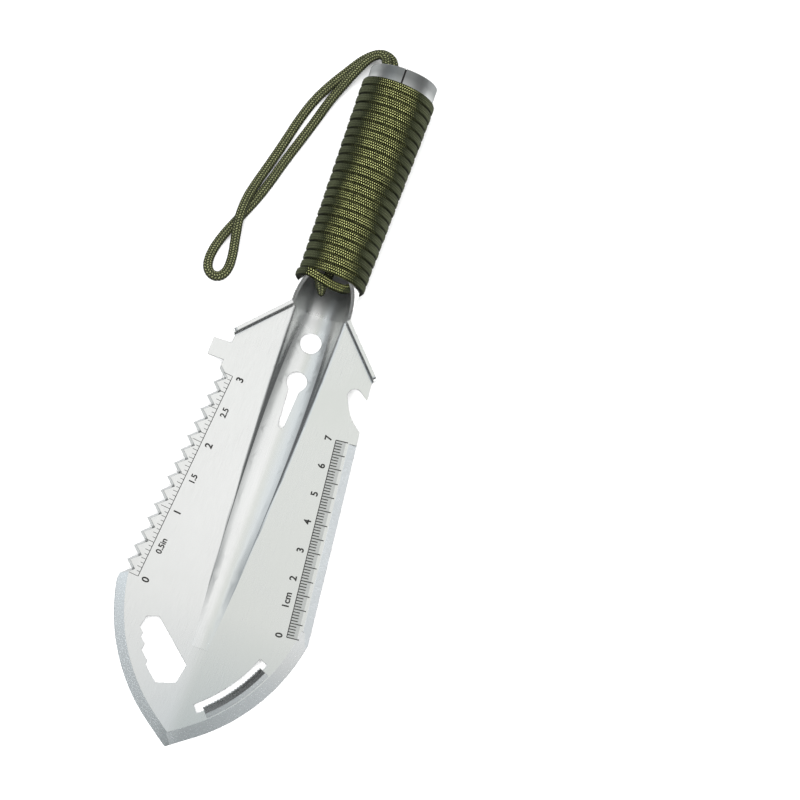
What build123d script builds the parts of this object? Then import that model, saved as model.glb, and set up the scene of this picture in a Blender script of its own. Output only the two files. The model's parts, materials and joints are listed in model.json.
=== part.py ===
from build123d import *
import os
from math import acos, atan2, cos, degrees, pi, radians, sin, sqrt, tan

# One-piece sheet-steel digging trowel with a rolled tube handle, a wound cord grip and a lanyard.
# Millimetres. The metal is drawn with the tip at the origin, +Y towards the butt of the handle and
# the crease of the two wings on Z = 0. REST then lays it on the ground as it comes to rest.

# ---- Sheet and wings -------------------------------------------------------------------------
SHEET = 1.2                      # sheet thickness
DIHEDRAL = 4.0                   # degrees that each wing rises from the middle outward
CREASE_HALF = 2.6                # the middle crease is rounded over this half width
TIP_ANGLE = 36.1                 # degrees between the first run of the tip and X
TIP_RUN = 10.5                   # straight run from the tip to the curved edge
EDGE_RADIUS = 65.4               # curved digging edge
EDGE_SWEEP = 44.1                # degrees that the curved edge turns
SHOULDER_OUT = (25.6, 141.2)     # shoulder fold, outer end
SHOULDER_IN = (11.6, 156.3)      # shoulder fold, end beside the neck
NECK_SIDE = (10.2, 161.5)        # where the wing runs out on the side of the tube
FLANGE_HEIGHT = 4.0
FLANGE_FOOT = 2.0                # how much of the flange piece lies in the wing
FLANGE_RUN_IN = 2.3              # how far the flange runs on into the side of the tube
FLANGE_CORNER = 1.3
BEND = 0.8                       # inside radius of the flange bend

# ---- Cutting edges -----------------------------------------------------------------------------
LEFT_BEVEL = (3.4, 1.15)         # width and depth of the ground bevel on the curved left edge
RIGHT_BEVEL = (4.2, 0.75)        # the same on the curved right edge
SIDE_BEVEL = (2.7, 0.95)         # the same on the straight right edge
SIDE_BEVEL_TOP = 118.3           # where the straight bevel stops
TEETH = 15
TEETH_TOP = (-26.5, 128.3)       # first tooth tip
TEETH_END = (-34.35, 50.3)       # last tooth tip
TOOTH_DEPTH = 2.9
TOOTH_LEAD = 2.2                 # root position along the pitch
TOOTH_GRIND = 1.1                # how much wider each gullet is on the ground side

# ---- Cut-outs ----------------------------------------------------------------------------------
TAB = (-31.8, 131.4, 137.8)      # side tab: outer x, lower y, upper y
HANG_HOLE = (0.3, 148.0, 3.75)   # x, y, radius
KEYHOLE = (0.3, 133.4, 3.6)      # x, y, radius of the round end
KEY_SLOT = ((1.9, 131.0), (1.15, 117.3))   # slot half width and y, at both ends
HEX_SIZES = (12.0, 10.8, 8.8, 7.5)         # across flats
HEX_STEPS = (0.0, 5.4, 10.0, 13.3)         # centre distances along the row
HEX_FIRST = (-8.8, 25.95)        # centre of the largest hexagon
HEX_ANGLE = -41.3                # degrees, direction of the shared flat
PEELER_RADIUS = 56.4             # middle of the peeler slot, about the centre of the right edge curve
PEELER_WIDTH = 3.2
PEELER_FROM = -50.9              # degrees about that centre
PEELER_TO = -22.2
LIP_FROM = -48.2
LIP_TO = -24.6
LIP_NICKS = 21
LIP_PROFILE = ((2.8, -0.3), (2.8, 0.02), (1.3, 0.3), (0.2, 1.0), (-0.75, 1.8), (-1.15, 1.55),
               (-0.45, 0.5), (-0.1, -0.6))   # out from the slot's outer side, and up
NICK_AT = (-1.35, 1.7)           # the same for the nicks
NICK_SIZE = 0.55

# ---- Trough between the wings, which narrows and runs out towards the tip --------------------------
TROUGH_FROM = 158.0              # y where it joins the tube
TROUGH_TO = 35.0                 # y where it has run out
TROUGH_SECTIONS = 7
TROUGH_END = 2.9                 # half width where it runs out
TROUGH_TAPER = 1.5               # power by which the half width falls away
TROUGH_DEEP = 2.9                # depth that is gone soon after the neck
TROUGH_TUCK = 0.3                # how far its outer form ends inside the sheet
HOLLOW_TOP = 6.0                 # height to which the space above the trough is cleared
FOLD_RADII = (2.0, 1.0)          # outside radius of its two folds, at both ends
WALL_END = 9.0                   # degrees that its walls still slope where it runs out
CORNER_END = 1.2                 # radius between wall and floor where it runs out

# ---- Handle tube ---------------------------------------------------------------------------------
AXIS_Z = 4.5                     # tube axis above the crease
NECK_Y = 172.0
NECK_RADIUS = 10.7
BUTT_Y = 247.0
BUTT_RADIUS = 12.3
SEAM_GAP = 0.4
MOUTH = ((158.0, 3.9), (160.4, 5.5), (165.6, 9.0), (173.5, 15.8))   # y, z along the cut mouth
RIM_BREAK = 0.25

# ---- Cord ------------------------------------------------------------------------------------------
CORD = 3.4                       # free cord diameter
WRAP_FROM = 171.0
WRAP_TO = 243.6
WRAP_LAYER = 1.4                 # thickness of the flattened winding
CROSSING_Y = 168.4
CROSSING_THICK = 1.8
CROSSING_WIDE = 3.2
KNOT_RADIUS = 2.0

# ---- Rest: tip and neck end of the winding touch the ground ----------------------------------------
SLOPE = tan(radians(DIHEDRAL))
CREASE_RADIUS = CREASE_HALF / sin(radians(DIHEDRAL))
CREASE_RISE = CREASE_HALF * SLOPE + CREASE_RADIUS * (cos(radians(DIHEDRAL)) - 1)
ORIGIN_Y = 123.61                # middle of the tool's length, at rest
TIP_UNDERSIDE = CREASE_RISE - SHEET
WRAP_UNDERSIDE = AXIS_Z - NECK_RADIUS - WRAP_LAYER
TILT = degrees(atan2(TIP_UNDERSIDE - WRAP_UNDERSIDE, WRAP_FROM))
REST = Location((0, -ORIGIN_Y, -TIP_UNDERSIDE), (TILT, 0, 0))

TUBE_AXIS = Axis((0, 0, AXIS_Z), (0, 1, 0))


def wing(side):
    """Top plane of one wing: side is 1 for right and -1 for left, local x and y as in plan."""
    a = radians(DIHEDRAL)
    return Plane(origin=(0, 0, 0), x_dir=(cos(a), 0, side * sin(a)), z_dir=(-side * sin(a), 0, cos(a)))


def in_wing(side, x, y, z=0.0):
    return wing(side).from_local_coords(Vector(x, y, z))


def direction_in_wing(side, x, y):
    return in_wing(side, x, y) - in_wing(side, 0, 0)


def edge_frame(side):
    """Start and centre of the curved edge, and its direction at the start, in plan."""
    a = radians(TIP_ANGLE)
    start = (side * TIP_RUN * cos(a), TIP_RUN * sin(a))
    centre = (start[0] - side * EDGE_RADIUS * sin(a), start[1] + EDGE_RADIUS * cos(a))
    return start, centre, (side * cos(a), sin(a))


def edge_end(side):
    centre = edge_frame(side)[1]
    a = radians(TIP_ANGLE + EDGE_SWEEP)
    return centre[0] + side * EDGE_RADIUS * sin(a), centre[1] - EDGE_RADIUS * cos(a)


def tube_radius(y):
    """Outside radius of the handle tube, which widens evenly from the neck to the butt."""
    share = max(0.0, (y - NECK_Y) / (BUTT_Y - NECK_Y))
    return NECK_RADIUS + share * (BUTT_RADIUS - NECK_RADIUS)


# ---- Plan outline of the wings, to the bend line of the shoulder flanges ---------------------------
def shoulder_normal():
    dx = SHOULDER_IN[0] - SHOULDER_OUT[0]
    dy = SHOULDER_IN[1] - SHOULDER_OUT[1]
    length = sqrt(dx * dx + dy * dy)
    return dy / length, -dx / length


def half_outline(side):
    """Edges of one half of the plan, from the tip to the middle of the neck."""
    start, _, along = edge_frame(side)
    nx, ny = shoulder_normal()
    outer = (side * (SHOULDER_OUT[0] - BEND * nx), SHOULDER_OUT[1] - BEND * ny)
    inner = (side * (SHOULDER_IN[0] - BEND * nx), SHOULDER_IN[1] - BEND * ny)
    neck = (side * NECK_SIDE[0], NECK_SIDE[1])
    Line((0, 0), start)
    JernArc(start, along, EDGE_RADIUS, side * EDGE_SWEEP)
    Line(edge_end(side), outer)
    Line(outer, inner)
    ThreePointArc(inner, (side * 10.5, 158.2), neck)
    Line(neck, (0, NECK_SIDE[1]))


with BuildSketch() as plan:
    with BuildLine():
        half_outline(1)
        half_outline(-1)
    make_face()
    with Locations(((TAB[0] - 22) / 2, (TAB[1] + TAB[2]) / 2)):
        Rectangle(-22 - TAB[0], TAB[2] - TAB[1])

# ---- Sheet with the rounded crease, cut to the plan --------------------------------------------------
WING_REACH = 40.0


def skin_points(depth):
    """Right half of the cross-section at a depth under the top skin: crease, bend end, far edge."""
    a = radians(DIHEDRAL)
    middle = (0, CREASE_RISE - depth)
    bend_end = (CREASE_HALF + depth * sin(a), CREASE_HALF * SLOPE - depth * cos(a))
    far = (WING_REACH, WING_REACH * SLOPE - depth / cos(a))
    return middle, bend_end, far


def left(point):
    return -point[0], point[1]


with BuildPart() as sheet:
    with BuildSketch(Plane.XZ):
        with BuildLine():
            for depth in (0, SHEET):
                middle, bend_end, far = skin_points(depth)
                ThreePointArc(left(bend_end), middle, bend_end)
                Line(bend_end, far)
                Line(left(bend_end), left(far))
            top_far = skin_points(0)[2]
            Line(top_far, far)
            Line(left(top_far), left(far))
        make_face()
    extrude(amount=-NECK_SIDE[1] - 5)
    extrude(plan.sketch, amount=30, both=True, mode=Mode.INTERSECT)


# ---- Trough: solid outer form and the hollow inside it ----------------------------------------------
BORE = NECK_RADIUS - SHEET
FULL_DEPTH = BORE - AXIS_Z


def toward(angle):
    """Unit vector of the upward normal where the right-hand wall slopes at this angle, in radians."""
    return Vector(-sin(angle), cos(angle))


def neck_fold(fold):
    """Centre of the fold where the trough is still the full round of the tube's bore."""
    drop = fold / cos(radians(DIHEDRAL))
    a = 1 + SLOPE ** 2
    b = -2 * SLOPE * (drop + AXIS_Z)
    c = (drop + AXIS_Z) ** 2 - (BORE + fold) ** 2
    x = (-b + sqrt(b * b - 4 * a * c)) / (2 * a)
    return Vector(x, x * SLOPE - drop)


class TroughSection:
    """One cross-section: a fold down from the wing, a corner arc and a wider floor arc, mirrored."""

    def __init__(self, share):
        left_over = 1 - share
        self.y = TROUGH_FROM + share * (TROUGH_TO - TROUGH_FROM)
        self.fold = FOLD_RADII[0] + share * (FOLD_RADII[1] - FOLD_RADII[0])
        start = neck_fold(FOLD_RADII[0])
        steepest = atan2(start.X, AXIS_Z - start.Y)
        wall_end = radians(WALL_END)
        self.wall = wall_end + (steepest - wall_end) * left_over ** 0.9
        self.corner = CORNER_END + (BORE - CORNER_END) * left_over ** 3.5
        self.depth = TROUGH_DEEP * left_over ** 4 + (FULL_DEPTH - TROUGH_DEEP) * left_over
        half_width = start.X + (TROUGH_END - start.X) * share ** TROUGH_TAPER
        self.fold_centre = Vector(half_width, half_width * SLOPE - self.fold / cos(radians(DIHEDRAL)))
        self.corner_centre = self.fold_centre + toward(self.wall) * (self.fold + self.corner)
        self.floor = BORE
        self.foot = steepest / 2
        if share > 0:
            across = self.corner_centre.X
            up = self.corner_centre.Y + self.depth
            self.floor = (across ** 2 + up ** 2 - self.corner ** 2) / (2 * (up - self.corner))
            self.foot = atan2(across, self.floor - up)
        self.thickness = SHEET - TROUGH_TUCK * share ** 4

    def hollow_edges(self):
        """Outline of the space above the trough's skin."""
        flat = radians(DIHEDRAL)
        start = self.fold_centre + toward(flat) * self.fold
        fold_middle = self.fold_centre + toward((flat + self.wall) / 2) * self.fold
        wall = self.fold_centre + toward(self.wall) * self.fold
        corner_middle = self.corner_centre - toward((self.wall + self.foot) / 2) * self.corner
        foot = self.corner_centre - toward(self.foot) * self.corner
        above = Vector(start.X, HOLLOW_TOP)
        return [arc(start, fold_middle, wall), arc(wall, corner_middle, foot),
                arc(foot, Vector(0, -self.depth), mirrored(foot)),
                arc(mirrored(foot), mirrored(corner_middle), mirrored(wall)),
                arc(mirrored(wall), mirrored(fold_middle), mirrored(start)),
                Edge.make_line(mirrored(start), mirrored(above)),
                Edge.make_line(mirrored(above), above), Edge.make_line(above, start)]

    def form_edges(self):
        """Outline of the metal's outer side, closed across inside the sheet."""
        top = self.fold_centre.X * SLOPE - 0.4 * SHEET
        corner = self.corner + self.thickness
        reach = self.corner_centre.X + sqrt(corner ** 2 - (self.corner_centre.Y - top) ** 2)
        edge_angle = atan2(reach - self.corner_centre.X, self.corner_centre.Y - top)
        middle = self.corner_centre - toward((edge_angle + self.foot) / 2) * corner
        foot = self.corner_centre - toward(self.foot) * corner
        edge = Vector(reach, top)
        return [arc(edge, middle, foot),
                arc(foot, Vector(0, -self.depth - self.thickness), mirrored(foot)),
                arc(mirrored(foot), mirrored(middle), mirrored(edge)),
                Edge.make_line(mirrored(edge), edge)]


def arc(start, middle, end):
    return Edge.make_three_point_arc(start, middle, end)


def mirrored(point):
    return Vector(-point.X, point.Y)


trough_sections = [TroughSection(index / (TROUGH_SECTIONS - 1)) for index in range(TROUGH_SECTIONS)]


def outline_face(section, edges):
    """Face inside one outline, its arcs kept apart so that every section has the same number."""
    return Face(Wire(edges)).moved(Plane.XZ.offset(-section.y).location)


with BuildPart() as trough_form:
    loft([outline_face(section, section.form_edges()) for section in trough_sections])

with BuildPart() as trough_hollow:
    loft([outline_face(section, section.hollow_edges()) for section in trough_sections])

# ---- Handle tube, with its mouth cut like a quill and its seam on top ---------------------------------
TUBE_START = TROUGH_FROM
with BuildPart() as tube:
    with BuildSketch(Plane.XY.offset(AXIS_Z)):
        with BuildLine():
            rim = tube_radius(BUTT_Y - RIM_BREAK)
            Polyline((NECK_RADIUS - SHEET, TUBE_START), (NECK_RADIUS, TUBE_START),
                     (NECK_RADIUS, NECK_Y), (rim, BUTT_Y - RIM_BREAK),
                     (rim - RIM_BREAK, BUTT_Y), (rim - SHEET + RIM_BREAK, BUTT_Y),
                     (rim - SHEET, BUTT_Y - RIM_BREAK), (NECK_RADIUS - SHEET, NECK_Y), close=True)
        make_face()
    revolve(axis=TUBE_AXIS)
    with BuildSketch(Plane.YZ):
        with BuildLine():
            Line((TUBE_START - 5, MOUTH[0][1]), MOUTH[0])
            Spline(*MOUTH)
            Polyline(MOUTH[3], (MOUTH[3][0], 30), (TUBE_START - 5, 30), (TUBE_START - 5, MOUTH[0][1]))
        make_face()
    extrude(amount=30, both=True, mode=Mode.SUBTRACT)
    with Locations((0, (NECK_Y + BUTT_Y) / 2 + 10, AXIS_Z + BUTT_RADIUS)):
        Box(SEAM_GAP, BUTT_Y - NECK_Y + 20, BUTT_RADIUS, mode=Mode.SUBTRACT)

with BuildPart() as tube_bore:
    with BuildSketch(Plane.XZ.offset(-TUBE_START)):
        with Locations((0, AXIS_Z)):
            Circle(BORE)
    extrude(amount=-(NECK_Y - TUBE_START))


# ---- Shoulder flanges, bent up towards the user ---------------------------------------------------------
def flange(side):
    """One bent-up shoulder: an L section with a rounded bend, run along the shoulder."""
    nx, ny = shoulder_normal()
    start = in_wing(side, side * SHOULDER_OUT[0], SHOULDER_OUT[1])
    end = in_wing(side, side * SHOULDER_IN[0], SHOULDER_IN[1])
    outward = direction_in_wing(side, side * nx, ny)
    along = end - start
    run = along.length + FLANGE_RUN_IN
    section_plane = Plane(origin=start, x_dir=outward, z_dir=-side * along)
    bend_mid = sin(pi / 4)
    with BuildPart() as piece:
        with BuildSketch(section_plane):
            with BuildLine():
                Line((-FLANGE_FOOT, 0), (-BEND, 0))
                ThreePointArc((-BEND, 0), (-BEND * (1 - bend_mid), BEND * (1 - bend_mid)), (0, BEND))
                Polyline((0, BEND), (0, FLANGE_HEIGHT), (SHEET, FLANGE_HEIGHT), (SHEET, BEND))
                reach = BEND + SHEET
                ThreePointArc((SHEET, BEND), (-BEND + reach * bend_mid, BEND - reach * bend_mid),
                              (-BEND, -SHEET))
                Polyline((-BEND, -SHEET), (-FLANGE_FOOT, -SHEET), (-FLANGE_FOOT, 0))
            make_face()
        extrude(amount=-side * run)
        top = piece.edges().filter_by(Axis((0, 0, 0), outward)).filter_by(
            lambda e: abs(e.length - SHEET) < 0.01).sort_by(Axis.Z)[-2:]
        fillet(top.sort_by(Axis.Y)[0], FLANGE_CORNER)
    return piece.part


# ---- Ground bevels ----------------------------------------------------------------------------------------
def bevel_wedge(width, depth):
    """Corners of the wedge taken off the top of an edge: x is measured outward from the edge."""
    spare = 1.5
    return (-width, 0), (spare, -depth * (1 + spare / width)), (spare, 2.0), (-width, 2.0)


def curved_bevel(side, width, depth):
    start, centre, along = edge_frame(side)
    origin = in_wing(side, start[0], start[1])
    outward = (origin - in_wing(side, centre[0], centre[1])).normalized()
    travel = direction_in_wing(side, along[0], along[1])
    section_plane = Plane(origin=origin, x_dir=outward, z_dir=travel * -side)
    turn_axis = Axis(in_wing(side, centre[0], centre[1]), wing(side).z_dir * side)
    with BuildPart() as cutter:
        with BuildSketch(section_plane) as wedge:
            with BuildLine():
                Polyline(*bevel_wedge(width, depth), close=True)
            make_face()
        revolve(wedge.sketch, axis=turn_axis, revolution_arc=EDGE_SWEEP + 3)
        extrude(wedge.sketch, amount=side * (TIP_RUN + 1.5))
    return cutter.part


def side_bevel():
    foot = edge_end(1)
    nx, ny = shoulder_normal()
    head = (SHOULDER_OUT[0] - BEND * nx, SHOULDER_OUT[1] - BEND * ny)
    along = (direction_in_wing(1, head[0] - foot[0], head[1] - foot[1])).normalized()
    run = (SIDE_BEVEL_TOP - foot[1]) / along.Y
    outward = along.cross(wing(1).z_dir)
    overrun = 1.0
    origin = in_wing(1, foot[0], foot[1]) - along * overrun
    with BuildPart() as cutter:
        with BuildSketch(Plane(origin=origin, x_dir=outward, z_dir=-along)):
            with BuildLine():
                Polyline(*bevel_wedge(*SIDE_BEVEL), close=True)
            make_face()
        extrude(amount=-run - overrun)
    return cutter.part


# ---- Saw teeth ----------------------------------------------------------------------------------------------
def tooth_gullets():
    """All gullets between the teeth: a V that is wider on the ground side."""
    dx = TEETH_END[0] - TEETH_TOP[0]
    dy = TEETH_END[1] - TEETH_TOP[1]
    length = sqrt(dx * dx + dy * dy)
    down = Vector(dx / length, dy / length)
    inward = Vector(-down.Y, down.X)
    pitch = length / TEETH
    with BuildPart() as cutter:
        for index in range(TEETH):
            tip = Vector(*TEETH_TOP) + down * (index * pitch)
            root = tip + down * TOOTH_LEAD + inward * TOOTH_DEPTH
            following = tip + down * pitch
            upper = (root - tip).normalized()
            lower = (following - root).normalized()
            for height, grind in ((-SHEET - 0.3, 0.0), (0.3, TOOTH_GRIND)):
                bisector = (upper - lower).normalized()
                half = acos(max(-1.0, min(1.0, upper.dot(bisector))))
                point = root + bisector * (grind / sin(half))
                with BuildSketch(wing(-1).offset(height)):
                    with BuildLine():
                        Polyline(point - upper * 7.5, point, point + lower * 7.5, close=True)
                    make_face()
            loft()
    return cutter.part


# ---- Peeler: raised, nicked lip along the slot ----------------------------------------------------------------
def peeler_lip():
    _, centre, _ = edge_frame(1)
    inner = PEELER_RADIUS + PEELER_WIDTH / 2
    a = radians(LIP_FROM)
    spoke = direction_in_wing(1, cos(a), sin(a))
    turn_axis = Axis(in_wing(1, centre[0], centre[1]), wing(1).z_dir)
    origin = in_wing(1, centre[0], centre[1])
    tangent = direction_in_wing(1, -sin(a), cos(a))
    with BuildPart() as lip:
        with BuildSketch(Plane(origin=origin, x_dir=spoke, z_dir=-tangent)):
            with BuildLine():
                Polyline(*[(inner + out, up) for out, up in LIP_PROFILE], close=True)
            make_face()
        revolve(axis=turn_axis, revolution_arc=LIP_TO - LIP_FROM)
        step = (LIP_TO - LIP_FROM) / LIP_NICKS
        for index in range(LIP_NICKS):
            b = radians(LIP_FROM + (index + 0.5) * step)
            x = centre[0] + (inner + NICK_AT[0]) * cos(b)
            y = centre[1] + (inner + NICK_AT[0]) * sin(b)
            place = Plane(origin=in_wing(1, x, y, NICK_AT[1]), x_dir=direction_in_wing(1, cos(b), sin(b)),
                          z_dir=wing(1).z_dir)
            with BuildSketch(place):
                RegularPolygon(NICK_SIZE, 4)
            extrude(amount=2 * NICK_SIZE, both=True, mode=Mode.SUBTRACT)
    return lip.part


# ---- The finished stamping ----------------------------------------------------------------------------------------
with BuildPart() as trowel:
    add(sheet.part)
    add(trough_form.part)
    for side in (1, -1):
        add(flange(side))
    add(trough_hollow.part, mode=Mode.SUBTRACT)
    add(tube_bore.part, mode=Mode.SUBTRACT)
    add(tube.part)
    add(curved_bevel(-1, *LEFT_BEVEL), mode=Mode.SUBTRACT)
    add(curved_bevel(1, *RIGHT_BEVEL), mode=Mode.SUBTRACT)
    add(side_bevel(), mode=Mode.SUBTRACT)
    add(tooth_gullets(), mode=Mode.SUBTRACT)

    # hanging hole and keyhole
    with BuildSketch():
        with Locations(HANG_HOLE[:2]):
            Circle(HANG_HOLE[2])
    extrude(amount=20, both=True, mode=Mode.SUBTRACT)
    with BuildSketch() as keyhole:
        with Locations(KEYHOLE[:2]):
            Circle(KEYHOLE[2])
        (wide, wide_y), (narrow, narrow_y) = KEY_SLOT
        x = KEYHOLE[0]
        with BuildLine():
            Polyline((x - narrow, narrow_y), (x - wide, wide_y), (x + wide, wide_y), (x + narrow, narrow_y))
            ThreePointArc((x + narrow, narrow_y), (x, narrow_y - narrow), (x - narrow, narrow_y))
        make_face()
        fillet(keyhole.vertices().group_by(Axis.Y)[-1], 2.0)
    extrude(amount=20, both=True, mode=Mode.SUBTRACT)

    # row of wrench hexagons that share one long flat
    flat = radians(HEX_ANGLE)
    largest = HEX_SIZES[0] / 2
    with BuildSketch():
        for size, step in zip(HEX_SIZES, HEX_STEPS):
            rise = largest - size / 2
            x = HEX_FIRST[0] - step * cos(flat) - rise * sin(flat)
            y = HEX_FIRST[1] - step * sin(flat) + rise * cos(flat)
            with Locations((x, y)):
                RegularPolygon(size / 2, 6, major_radius=False, rotation=HEX_ANGLE)
    extrude(amount=20, both=True, mode=Mode.SUBTRACT)

    # bottle opener notch in the right edge
    with BuildSketch():
        with BuildLine():
            ThreePointArc((27.35, 122.8), (22.6, 126.6), (18.95, 133.0))
            ThreePointArc((18.95, 133.0), (20.2, 137.0), (22.7, 136.5))
            Polyline((22.7, 136.5), (25.4, 134.4), (30, 134.7), (30, 122.2), (27.35, 122.8))
        make_face()
    extrude(amount=20, both=True, mode=Mode.SUBTRACT)

    # peeler slot and its lip
    peeler_centre = edge_frame(1)[1]
    sweep_angle = PEELER_TO - PEELER_FROM
    with BuildSketch():
        with BuildLine():
            outer_arc = CenterArc(peeler_centre, PEELER_RADIUS + PEELER_WIDTH / 2, PEELER_FROM, sweep_angle)
            inner_arc = CenterArc(peeler_centre, PEELER_RADIUS - PEELER_WIDTH / 2, PEELER_FROM, sweep_angle)
            Line(outer_arc @ 0, inner_arc @ 0)
            Line(outer_arc @ 1, inner_arc @ 1)
        make_face()
    extrude(amount=20, both=True, mode=Mode.SUBTRACT)
    add(peeler_lip())

trowel.part = trowel.part.moved(REST)
trowel.part.label = "trowel_body"

# ---- Winding: the outer shape of the coil, with the tube inside it ---------------------------------------------------
with BuildPart() as wrap:
    with BuildSketch(Plane.XY.offset(AXIS_Z)):
        with BuildLine():
            Polyline((NECK_RADIUS, WRAP_FROM), (NECK_RADIUS, NECK_Y),
                     (tube_radius(WRAP_TO), WRAP_TO),
                     (tube_radius(WRAP_TO) + WRAP_LAYER, WRAP_TO),
                     (NECK_RADIUS + WRAP_LAYER, WRAP_FROM), close=True)
        make_face()
    revolve(axis=TUBE_AXIS)
wrap.part = wrap.part.moved(REST)
wrap.part.label = "grip_wrap"

# ---- Last turn: round the left of the neck, over the rim and into the mouth ----------------------------
CROSSING_RADIUS = NECK_RADIUS + CROSSING_THICK / 2 + 0.1
CROSSING_START = 215.0           # degrees round the tube, seen from the tip
CROSSING_LIFT = 125.0            # where the cord leaves the tube and goes straight
CROSSING_END = (6.3, 9.6)        # x and z of its end inside the mouth, before REST
CROSSING_BEND = 4.5


def beside_neck(angle):
    """Point of the last turn at an angle round the tube."""
    a = radians(angle)
    return Vector(CROSSING_RADIUS * cos(a), CROSSING_Y, AXIS_Z + CROSSING_RADIUS * sin(a))


with BuildPart() as crossing:
    with BuildLine() as crossing_path:
        middle_angle = (CROSSING_START + CROSSING_LIFT) / 2
        side_arc = ThreePointArc(beside_neck(CROSSING_START), beside_neck(middle_angle),
                                 beside_neck(CROSSING_LIFT))
        lifted = (side_arc @ 1) + (side_arc % 1) * CROSSING_BEND * 0.7
        FilletPolyline(side_arc @ 1, lifted, (CROSSING_END[0], CROSSING_Y, CROSSING_END[1]),
                       radius=CROSSING_BEND)
    with BuildSketch(Plane(origin=side_arc @ 0, z_dir=side_arc % 0, x_dir=(0, 1, 0))):
        Ellipse(CROSSING_WIDE / 2, CROSSING_THICK / 2)
    sweep(path=crossing_path.wire())
crossing.part = crossing.part.moved(REST)
crossing.part.label = "neck_crossing"

# ---- Tail knot that hangs below the crossing, a short stub with rounded ends -----------------------------
KNOT_TOP = Vector(-4.3, 165.6, 9.0)
KNOT_TIP = Vector(-1.6, 163.4, 6.6)
with BuildPart() as knot:
    with BuildSketch(Plane(origin=KNOT_TOP, z_dir=KNOT_TIP - KNOT_TOP)):
        Circle(KNOT_RADIUS)
    extrude(amount=(KNOT_TIP - KNOT_TOP).length)
    with Locations(KNOT_TOP, KNOT_TIP):
        Sphere(KNOT_RADIUS)
knot.part = knot.part.moved(REST)
knot.part.label = "neck_knot"


# ---- Round cord along straight runs joined by tangent arcs, already at rest ------------------------------
def bend_radii(route):
    """Largest arc at each corner: 0.45 of the shorter run over the tangent of half the turn."""
    radii = []
    for before, corner, after in zip(route, route[1:], route[2:]):
        first = Vector(*corner) - Vector(*before)
        second = Vector(*after) - Vector(*corner)
        half_turn = radians(first.get_angle(second)) / 2
        radii.append(0.45 * min(first.length, second.length) / tan(half_turn))
    return radii


def cord_tube(name, route):
    radii = bend_radii(route)
    with BuildPart() as tube_part:
        with BuildLine() as path:
            FilletPolyline(*route, radius=radii)
        start = Plane(origin=path.line @ 0, z_dir=path.line % 0)
        with BuildSketch(start):
            Circle(CORD / 2)
        sweep(path=path.wire())
    tube_part.part.label = name
    length = path.wire().length
    ideal = length * pi * (CORD / 2) ** 2
    print(name, "length", round(length, 1), "volume over ideal", round(tube_part.part.volume / ideal, 4))
    print("  radii", [round(radius, 1) for radius in radii])
    return tube_part


# The two strands inside the handle run from the neck to just inside the butt, where the lanyard
# takes over with the same ends.
EXIT_Y = 122.4
LOW_EXIT = (-4.6, EXIT_Y, 7.6)
HIGH_EXIT = (-7.4, EXIT_Y, 12.2)
LOWER_STRAND = [(-1.5, 46.0, 13.6), (-1.2, 58.0, 9.0), (-2.6, 78.0, 7.4), (-3.4, 100.0, 7.2),
                (-4.6, 115.5, 7.6), LOW_EXIT]
UPPER_STRAND = [(4.2, 48.6, 15.6), (2.2, 56.0, 13.6), (-2.2, 66.0, 11.6), (-5.2, 80.0, 11.0),
                (-6.8, 97.0, 11.6), (-7.4, 113.0, 12.2), HIGH_EXIT]

# Lanyard: out of the butt low, round to the left, along the ground beside the handle, over itself,
# round the eye, back under, and up into the butt above where it left.
LANYARD = [LOW_EXIT, (-4.6, 127.4, 7.6), (-6.6, 131.6, 6.4), (-11.4, 133.0, 4.4), (-16.2, 129.6, 2.6),
           (-20.2, 123.4, 1.75), (-24.4, 116.4, 1.75), (-28.2, 108.4, 1.75), (-30.7, 99.8, 1.75),
           (-32.6, 90.8, 1.75), (-34.6, 82.4, 1.75), (-36.7, 74.0, 2.2), (-38.2, 66.2, 4.5),
           (-38.3, 58.4, 5.6), (-37.1, 51.4, 4.0), (-35.9, 45.2, 2.0), (-35.7, 39.6, 1.75),
           (-37.8, 36.2, 1.75), (-41.0, 36.2, 1.75), (-43.2, 38.8, 1.75), (-43.4, 44.0, 1.75),
           (-41.7, 50.8, 1.75), (-38.9, 57.8, 1.75), (-35.6, 65.6, 1.75), (-32.8, 74.0, 1.75),
           (-30.6, 83.0, 1.75), (-27.9, 92.0, 1.75), (-25.2, 101.2, 1.75), (-22.9, 110.0, 2.1),
           (-20.0, 117.4, 3.5), (-17.4, 123.2, 5.6), (-14.6, 128.2, 8.1), (-10.9, 130.8, 10.6),
           (-7.4, 128.2, 12.2), HIGH_EXIT]

lower_strand = cord_tube("inner_strand_lower", LOWER_STRAND)
upper_strand = cord_tube("inner_strand_upper", UPPER_STRAND)
lanyard = cord_tube("lanyard_loop", LANYARD)

os.makedirs("parts", exist_ok=True)
for piece in (trowel, wrap, crossing, knot, lower_strand, upper_strand, lanyard):
    export_step(piece.part, f"parts/{piece.part.label}.step")

tool_box = trowel.part.bounding_box()
print("middle of the tool, y", round((tool_box.min.Y + tool_box.max.Y) / 2, 3))
print("length", round(tool_box.size.Y, 2), "width", round(tool_box.size.X, 2))
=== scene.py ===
"""Looks of the digging trowel: brushed steel stamping, etched scales, wound cord grip and lanyard.

Lengths are in metres in the row frame. Shapes on the blade are drawn in the stamping's own frame, in
millimetres with the tip at the origin and +Y towards the butt, and at_rest() lays them on the ground.
"""

import json
import math

import bpy
import numpy as np
from mathutils import Euler, Matrix, Vector

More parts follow.
